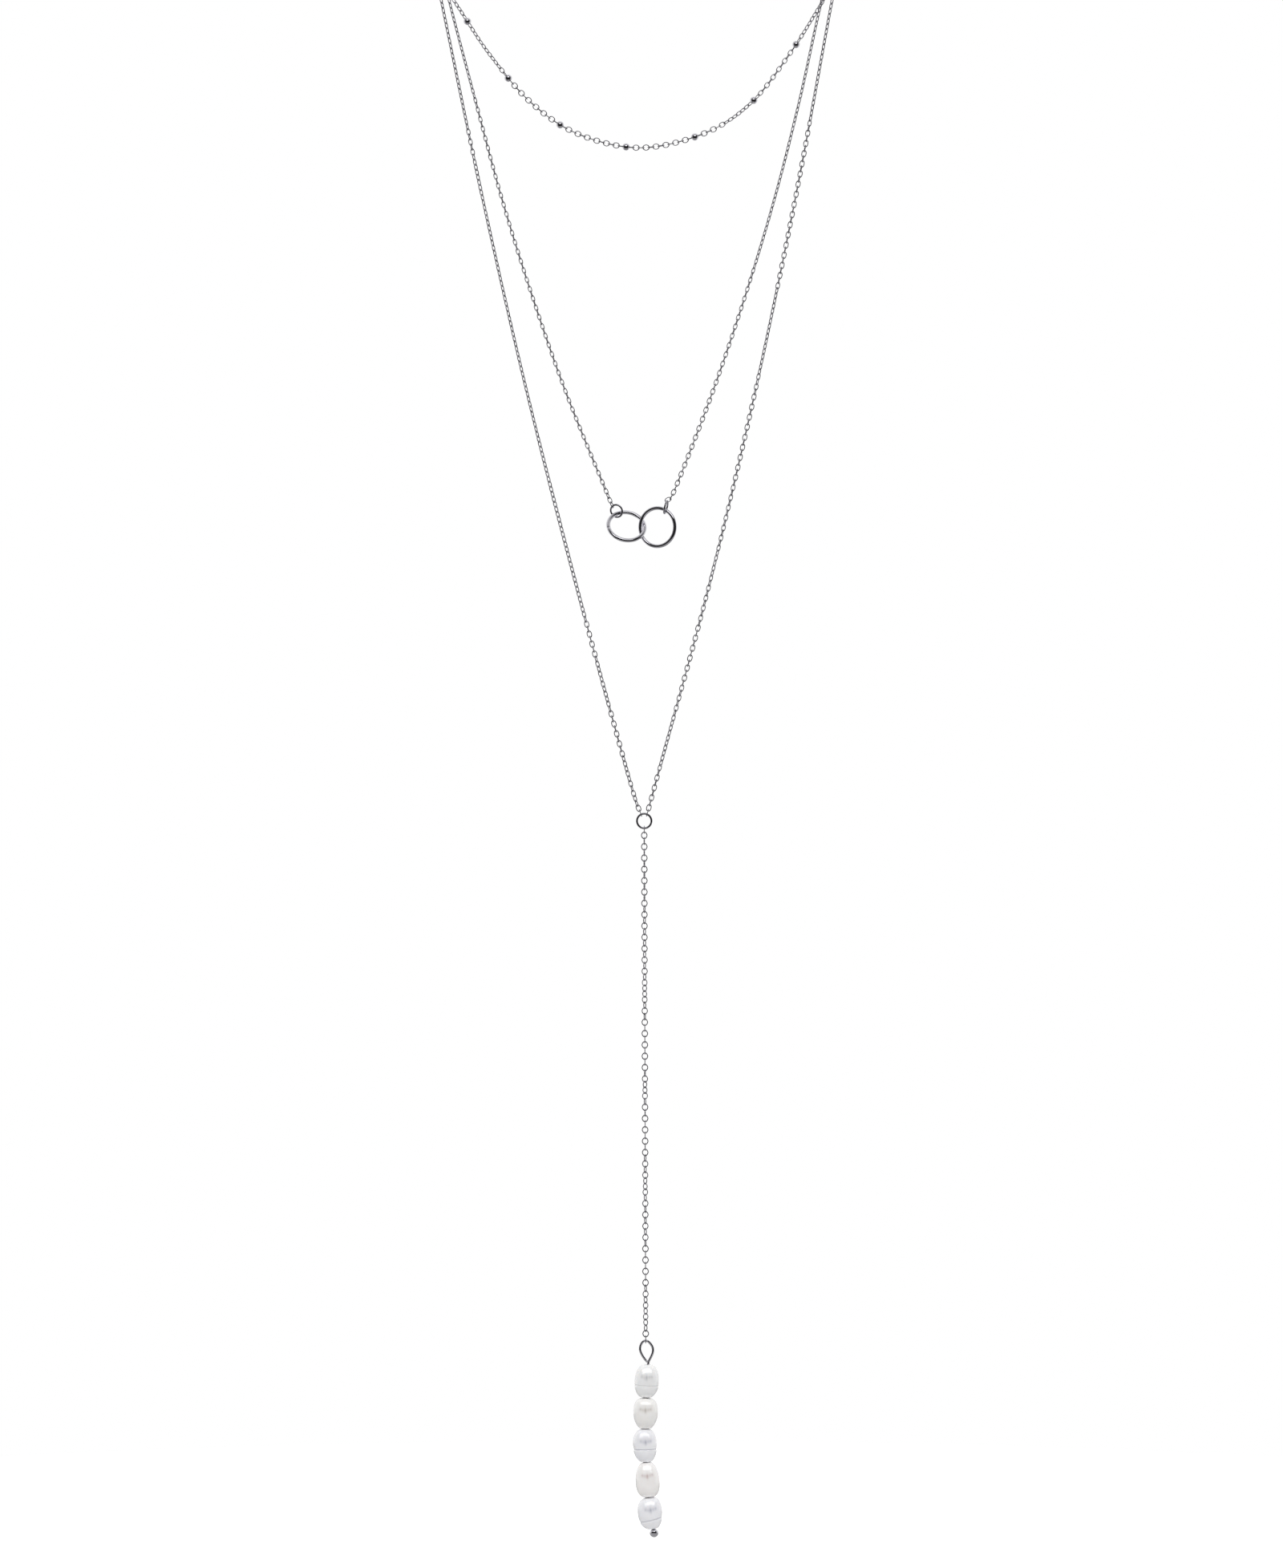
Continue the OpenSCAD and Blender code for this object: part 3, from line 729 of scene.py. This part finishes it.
# a bead every pitch, counted both ways from a point shifted to the left of the middle, none in the run in;
# the cut for the hole snaps to a ring of the sphere, so a bore of 0.9 comes out at 0.75
beading = {
    "pitch": 14, "shift": 2.5, "runIn": 8, "size": 1.5, "bore": 0.9, "sides": 28, "rings": 18,
    "smooth": 50, "looseRoll": 3, "seed": 15,
    "twist": [
        (0.3, 45, 16), (0.41, 45, 16), (0.43, 0, 0), (0.54, 0, 0), (0.55, 45, 16), (0.565, 45, 16),
        (0.575, 25, 15), (0.6, 25, 15), (0.61, 45, 16), (0.7, 45, 16),
    ],
}


def modelBead():
    # a drilled bead with its hole along X and a slight flat round each mouth
    bpy.ops.mesh.primitive_uv_sphere_add(
        segments=beading["sides"], ring_count=beading["rings"], radius=beading["size"] / 2 * mm)
    bead = bpy.context.object
    cut = math.sqrt((beading["size"] / 2) ** 2 - (beading["bore"] / 2) ** 2) * mm
    bpy.ops.object.mode_set(mode="EDIT")
    for side in (-1, 1):
        bpy.ops.mesh.select_all(action="SELECT")
        bpy.ops.mesh.bisect(
            plane_co=(0, 0, side * cut), plane_no=(0, 0, side), clear_outer=True, use_fill=False)
    bpy.ops.mesh.select_all(action="DESELECT")
    bpy.ops.mesh.select_mode(type="EDGE")
    bpy.ops.mesh.select_non_manifold()
    bpy.ops.mesh.bridge_edge_loops()
    bpy.ops.mesh.select_mode(type="VERT")
    bpy.ops.mesh.select_all(action="SELECT")
    bpy.ops.mesh.normals_make_consistent(inside=False)
    bpy.ops.transform.rotate(value=math.radians(90), orient_axis="Y", center_override=(0, 0, 0))
    bpy.ops.object.mode_set(mode="OBJECT")
    bpy.ops.object.shade_smooth_by_angle(angle=math.radians(beading["smooth"]))
    return bead


def layShortStrand():
    link = linkKinds["short"]
    start, startWire = napeEnd(-1, -1, link)
    end, endWire = napeEnd(1, -1, link)
    points = mirrored(shortNape) + shortFront + shortNape[::-1]
    line = smoothLine([start] + [vec(p) for p in points] + [end], strandForm["splineSteps"])
    marks = lineMarks(line)
    length = marks[-1] / mm
    middle = length / 2 - beading["shift"]
    first = math.ceil((beading["runIn"] - middle) / beading["pitch"])
    last = math.floor((length - beading["runIn"] - middle) / beading["pitch"])
    stops = [(middle + i * beading["pitch"]) * mm for i in range(first, last + 1)]
    places = chainPlaces(
        line, stops, link["pitch"], startWire, endWire,
        beading["twist"], beading["looseRoll"], beading["seed"])
    chain = layChain(linkModels["short"], places)
    dress(chain, "shortChain", chainSilver, "chain_silver", "strands", "short_chain")
    model = modelBead()
    spots = [(pointAt(line, marks, s), directionAt(line, marks, s, link["pitch"] * mm / 2)) for s in stops]
    beads = layChain(model, [linkMatrix(centre, along, 0) for centre, along in spots])
    dress(beads, "stationBeads", polishedSilver, "polished_silver", "strands", "station_beads")
    bpy.data.objects.remove(model)


layShortStrand()
print("short strand and beads laid")


# lean in degrees off plumb, the wire and end play of the links in the frame, and the twist from the top
drop = {
    "links": 91, "lean": 0.17, "pitch": 1.128, "cadWire": 0.25, "gap": 0.1, "seed": 16, "looseRoll": 2,
    "twist": [
        (0.02, 93, 2), (0.12, 98, 2), (0.184, 106, 2), (0.237, 112, 2), (0.272, 108, 2),
        (0.292, 118, 0), (0.321, 135, 0), (0.35, 158, 0), (0.4, 180, 0), (0.463, 180, 0),
        (0.485, 192, 0), (0.514, 225, 0), (0.544, 256, 0), (0.57, 270, 0), (0.622, 270, 0),
        (0.649, 288, 0), (0.684, 292, 0), (0.71, 318, 0), (0.732, 336, 0), (0.756, 345, 0),
        (0.806, 340, 0), (0.837, 360, 0), (0.888, 358, 0), (0.912, 340, 0), (0.936, 328, 0),
        (0.962, 322, 0), (0.981, 318, 0),
    ],
}


def layDrop():
    size = ringSizes["y_ring"]
    lean = math.radians(drop["lean"])
    down = Vector((math.sin(lean), 0, -math.cos(lean)))
    cadReach = (drop["pitch"] + drop["cadWire"] + drop["gap"]) * mm
    foot = boxMiddle("y_ring") - Vector((0, 0, (size["od"] - size["wire"]) / 2 * mm))
    top = foot - down * ((size["wire"] + drop["cadWire"]) / 2 + drop["gap"]) * mm
    centres = [top + down * (cadReach / 2 + i * drop["pitch"] * mm) for i in range(drop["links"])]
    # the first link is edge-on to the front, the last but one faces it, and the last is edge-on again
    across, ahead = Vector((1, 0, 0)), Vector((0, -1, 0))
    last = centres[-1]
    places = chainPlaces(
        [centres[0], centres[-2]], [], drop["pitch"], across, ahead,
        drop["twist"], drop["looseRoll"], drop["seed"])
    chain = layChain(linkModels["drop"], places)
    dress(chain, "dropChain", chainSilver, "chain_silver", "strands", "drop_chain")
    endLink = layChain(linkModels["drop"], [linkMatrix(last, down, 90)])
    dress(endLink, "dropEndLink", chainSilver, "chain_silver", "end_link", "drop_end_link")
    return last + down * cadReach / 2


dropFoot = layDrop()
for model in linkModels.values():
    bpy.data.objects.remove(model)
print("drop chain laid")


# the pin hangs in the drop's last link and bows from its start, bare until the first pearl; the ball lies
# its gap off the rim of the last pearl's hole, and the eye's path is its wire as it runs, right side first,
# across and up from the middle of its top
pin = {
    "wire": 0.5, "eye": 3.1, "eyeNeck": 2.9, "eyeLean": 9, "startLean": -4.7, "bow": 146, "bare": 0.6,
    "ball": 1.7, "ballGap": 0.1, "rim": 0.4, "cadWire": 0.25, "gap": 0.1, "tip": (-0.2, -0.34, 0.02),
    "shankSteps": 14, "eyeSteps": 5, "bevel": 4, "smooth": 50, "ballSides": 40, "ballRings": 24,
    "eyePath": [
        (0.5, -4.5), (0.66, -3.98), (0.98, -3.36), (1.28, -2.7), (1.44, -2.05), (1.4, -1.45),
        (1.16, -0.9), (0.78, -0.42), (0.4, -0.1), (0.0, 0.0), (-0.4, -0.1), (-0.76, -0.44),
        (-1.04, -0.98), (-1.14, -1.6), (-1.02, -2.2), (-0.72, -2.85), (-0.3, -3.5), (0.1, -4.0),
    ],
}
# belly and groove are heights and side a place across, as shares of the pearl's length and width;
# slope is the growth line's climb and depth its depth in mm
pearls = [
    {"label": "pearlOne", "node": "pearl_1", "slot": "pearl_white", "skin": "pearlWhite",
     "long": 6.6256, "wide": 4.85, "belly": 0.0, "side": 0,
     "groove": -0.12, "slope": 0.0, "depth": 0.07},
    {"label": "pearlTwo", "node": "pearl_2", "slot": "pearl_ivory", "skin": "pearlIvory",
     "long": 6.1992, "wide": 4.9, "belly": 0.08, "side": 0,
     "groove": 0.3, "slope": 0.0, "depth": 0.0},
    {"label": "pearlThree", "node": "pearl_3", "slot": "pearl_cool", "skin": "pearlCool",
     "long": 6.6256, "wide": 4.75, "belly": 0.02, "side": -0.05,
     "groove": -0.1, "slope": -0.02, "depth": 0.16},
    {"label": "pearlFour", "node": "pearl_4", "slot": "pearl_pink", "skin": "pearlPink",
     "long": 7.0192, "wide": 4.8, "belly": -0.08, "side": -0.02,
     "groove": 0.28, "slope": 0.03, "depth": 0.0},
    {"label": "pearlFive", "node": "pearl_5", "slot": "pearl_cool", "skin": "pearlCool",
     "long": 6.3304, "wide": 4.9, "belly": 0.05, "side": -0.05,
     "groove": -0.2, "slope": 0.12, "depth": 0.14},
]


def pinTurn(s):
    return pin["startLean"] + math.degrees(s / pin["bow"])


def pinPoint(close, s):
    a, b = math.radians(pin["startLean"]), math.radians(pinTurn(s))
    return close + Vector((math.cos(a) - math.cos(b), 0, math.sin(a) - math.sin(b))) * pin["bow"] * mm


eyeRadius = (pin["eye"] - pin["wire"]) / 2
eyeMiddle = dropFoot + Vector((0, 0, (pin["cadWire"] + pin["wire"]) / 2 + pin["gap"] - eyeRadius)) * mm
eyeLean = math.radians(pin["eyeLean"])
eyeClose = eyeMiddle + Vector((math.sin(eyeLean), 0, -math.cos(eyeLean))) * pin["eyeNeck"] * mm
ballRise = math.sqrt((pin["ball"] / 2 + pin["ballGap"]) ** 2 - pin["rim"] ** 2)
ballPlace = pin["bare"] + sum(p["long"] for p in pearls) + ballRise


def makePin():
    # one wire: up from the ball, round the eye and back to its own neck
    eyeTop = eyeMiddle + Vector((0, 0, eyeRadius)) * mm
    steps = pin["shankSteps"]
    path = [pinPoint(eyeClose, ballPlace * (1 - k / steps)) for k in range(steps)]
    bend = [path[-1]] + [eyeTop + Vector((x, 0, z)) * mm for x, z in pin["eyePath"]]
    path += smoothLine(bend + [eyeClose + vec(pin["tip"])], pin["eyeSteps"])[1:]
    curve = bpy.data.curves.new("headPin", "CURVE")
    curve.dimensions = "3D"
    curve.bevel_depth = pin["wire"] / 2 * mm
    curve.bevel_resolution = pin["bevel"]
    curve.use_fill_caps = True
    spline = curve.splines.new("POLY")
    spline.points.add(len(path) - 1)
    for point, co in zip(spline.points, path):
        point.co = (*co, 1)
    wire = bpy.data.objects.new("headPin", curve)
    bpy.context.collection.objects.link(wire)
    only(wire)
    bpy.ops.object.convert(target="MESH")
    wire = bpy.context.object
    bpy.ops.object.shade_smooth_by_angle(angle=math.radians(pin["smooth"]))
    bpy.ops.mesh.primitive_uv_sphere_add(
        segments=pin["ballSides"], ring_count=pin["ballRings"], radius=pin["ball"] / 2 * mm,
        location=pinPoint(eyeClose, ballPlace))
    ball = bpy.context.object
    bpy.ops.object.shade_smooth()
    bpy.ops.object.select_all(action="DESELECT")
    ball.select_set(True)
    wire.select_set(True)
    bpy.context.view_layer.objects.active = wire
    bpy.ops.object.join()
    return bpy.context.object


dress(makePin(), "headPin", polishedSilver, "polished_silver", "pearl_drop", "head_pin")
print("head pin made")


# the profile gives heights from the foot to the top with the half widths there, as shares of a pearl's
# length and its greatest half width
pearlForm = {
    "hole": 0.7, "gap": 0.04, "sides": 32, "merge": 0.002, "soften": 2, "lumpSize": 3.2, "lumpHeight": 0.12,
    "profile": [
        (-0.5, 0.34), (-0.49, 0.44), (-0.46, 0.57), (-0.41, 0.70), (-0.33, 0.84), (-0.22, 0.945),
        (-0.1, 0.993), (0.02, 1.0), (0.14, 0.98), (0.25, 0.92), (0.34, 0.825), (0.41, 0.705),
        (0.46, 0.575), (0.49, 0.44), (0.5, 0.34),
    ],
}
# the profile gives heights off the middle of the line with the shares of its depth there
# half and dark are the half width in mm and the strength of the shade painted along the groove
growthLine = {
    "half": 0.13, "dark": 3.0,
    "profile": [(-0.055, 0), (-0.026, 0.5), (0, 1), (0.026, 0.5), (0.055, 0)],
}
# shallow dimples in the front of each pearl: across and up as shares of its size, half height in mm
# and strength
# dark is the strength of the painted reflection of dark things in front, laid into the dimples
dimples = {
    "deep": 0.09, "across": 0.24, "dark": 0.95,
    "spots": [
        (-0.21, 0.15, 0.32, 0.5), (-0.11, 0.13, 0.36, 0.4), (-0.01, 0.12, 0.5, 0.85),
        (0.1, 0.14, 0.34, 0.45), (0.2, 0.15, 0.3, 0.5),
    ],
}


def pearlRows(pearl):
    # the pearl's profile with its belly moved and the growth line cut in
    rows = [
        [height + pearl["belly"] * (1 - 4 * height ** 2), wide] for height, wide in pearlForm["profile"]]
    cut = pearl["depth"] / (pearl["wide"] / 2)
    for offset, share in growthLine["profile"]:
        height = pearl["groove"] + offset
        below = max(r for r in rows if r[0] <= height)
        above = min(r for r in rows if r[0] > height)
        u = (height - below[0]) / (above[0] - below[0])
        rows.append([height, below[1] + (above[1] - below[1]) * u - cut * share])
        rows.sort()
    return rows


def makePearl(pearl, index):
    rows = pearlRows(pearl)
    length, half = (pearl["long"] - pearlForm["gap"]) * mm, pearl["wide"] / 2 * mm
    radius, height = pearlForm["hole"] / 2 * mm, rows[0][0] * length
    bpy.ops.mesh.primitive_circle_add(
        vertices=pearlForm["sides"], radius=radius, location=(0, 0, height))
    body = bpy.context.object
    bpy.ops.object.transform_apply(location=True)
    bpy.ops.object.mode_set(mode="EDIT")
    bpy.ops.mesh.select_all(action="SELECT")
    # from the foot of the hole out and up the profile to the hole's top, and back down inside
    for share, wide in rows + [[rows[-1][0], radius / half]]:
        grow = wide * half / radius
        bpy.ops.mesh.extrude_region_move(TRANSFORM_OT_translate={"value": (0, 0, share * length - height)})
        bpy.ops.transform.resize(value=(grow, grow, 1), center_override=(0, 0, share * length))
        radius, height = wide * half, share * length
    bpy.ops.mesh.extrude_region_move(TRANSFORM_OT_translate={"value": (0, 0, -length)})
    bpy.ops.mesh.select_all(action="SELECT")
    bpy.ops.mesh.remove_doubles(threshold=pearlForm["merge"] * mm)
    bpy.ops.mesh.normals_make_consistent(inside=False)
    bpy.ops.object.mode_set(mode="OBJECT")
    # growth lines that climb across the pearl, and a body that leans off the pin
    for v in body.data.vertices:
        middle = max(0.0, 1 - (2 * v.co.z / length) ** 2)
        outer = min(1.0, math.hypot(v.co.x, v.co.y) / half)
        v.co.z += pearl["slope"] * v.co.x * middle
        v.co.x += pearl["side"] * pearl["wide"] * mm * outer
    levels = pearlForm["soften"]
    addModifier(body, "soften", "SUBSURF", levels=levels, render_levels=levels)
    marks = body.data.attributes.new("grooveShadeDabReflection", "FLOAT", "POINT")
    lineSlope = pearl["slope"] * (1 - 4 * pearl["groove"] ** 2)
    for v in body.data.vertices:
        # painted shade along the growth line's groove, deeper grooves darker, and painted reflections of
        # dark things in the dimples
        climb = lineSlope * (v.co.x - pearl["side"] * pearl["wide"] * mm)
        line = math.exp(-((v.co.z - pearl["groove"] * length - climb) / growthLine["half"] / mm) ** 2)
        paintedShadeReflection = line * pearl["depth"] * growthLine["dark"]
        if v.co.y < 0:
            dents = [
                strong * math.exp(
                    -((v.co.x - x * pearl["wide"] * mm) / dimples["across"] / mm) ** 2
                    - ((v.co.z - z * length) / high / mm) ** 2)
                for x, z, high, strong in dimples["spots"]]
            v.co.y += sum(dents) * dimples["deep"] * mm
            # painted reflection: the dimples are darkened in colour as if they mirrored dark things in
            # front
            paintedShadeReflection += sum(dents) * dimples["dark"]
        marks.data[v.index].value = paintedShadeReflection
    s = pin["bare"] + sum(p["long"] for p in pearls[:index]) + pearl["long"] / 2
    turn = Matrix.Rotation(math.radians(-pinTurn(s)), 4, "Y")
    place(body, Matrix.Translation(pinPoint(eyeClose, s)) @ turn)
    texture = bpy.data.textures.new("pearlLumps", "CLOUDS")
    texture.noise_scale = pearlForm["lumpSize"] * mm
    addModifier(
        body, "lumps", "DISPLACE", texture=texture, strength=pearlForm["lumpHeight"] * mm,
        mid_level=0.5, texture_coords="LOCAL")
    only(body)
    bpy.ops.object.shade_smooth()
    pearlGroup.objects.link(body)
    return body


for index, pearl in enumerate(pearls):
    skin = pearlSkins[pearl["skin"]]
    dress(makePearl(pearl, index), pearl["label"], skin, pearl["slot"], "pearl_drop", pearl["node"])
print("pearls made")


claspForm = {"merge": 0.001, "flat": 1, "rounding": 0.22, "steps": 3, "sharp": 40}


def makeClasp():
    # the frame's own clasp with its flat faces joined and its edges rounded
    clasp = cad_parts["clasp"].copy()
    clasp.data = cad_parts["clasp"].data.copy()
    for key in list(clasp.keys()):
        del clasp[key]
    clasp.parent = None
    bpy.context.collection.objects.link(clasp)
    only(clasp)
    bpy.ops.object.mode_set(mode="EDIT")
    bpy.ops.mesh.select_all(action="SELECT")
    bpy.ops.mesh.remove_doubles(threshold=claspForm["merge"] * mm)
    bpy.ops.mesh.dissolve_limited(angle_limit=math.radians(claspForm["flat"]))
    bpy.ops.object.mode_set(mode="OBJECT")
    sharp = math.radians(claspForm["sharp"])
    addModifier(
        clasp, "roundedEdges", "BEVEL", width=claspForm["rounding"] * mm,
        segments=claspForm["steps"], angle_limit=sharp)
    bpy.ops.object.shade_smooth_by_angle(angle=sharp)
    return clasp


dress(makeClasp(), "claspBody", polishedSilver, "polished_silver", "strands", "clasp")
print("clasp made")
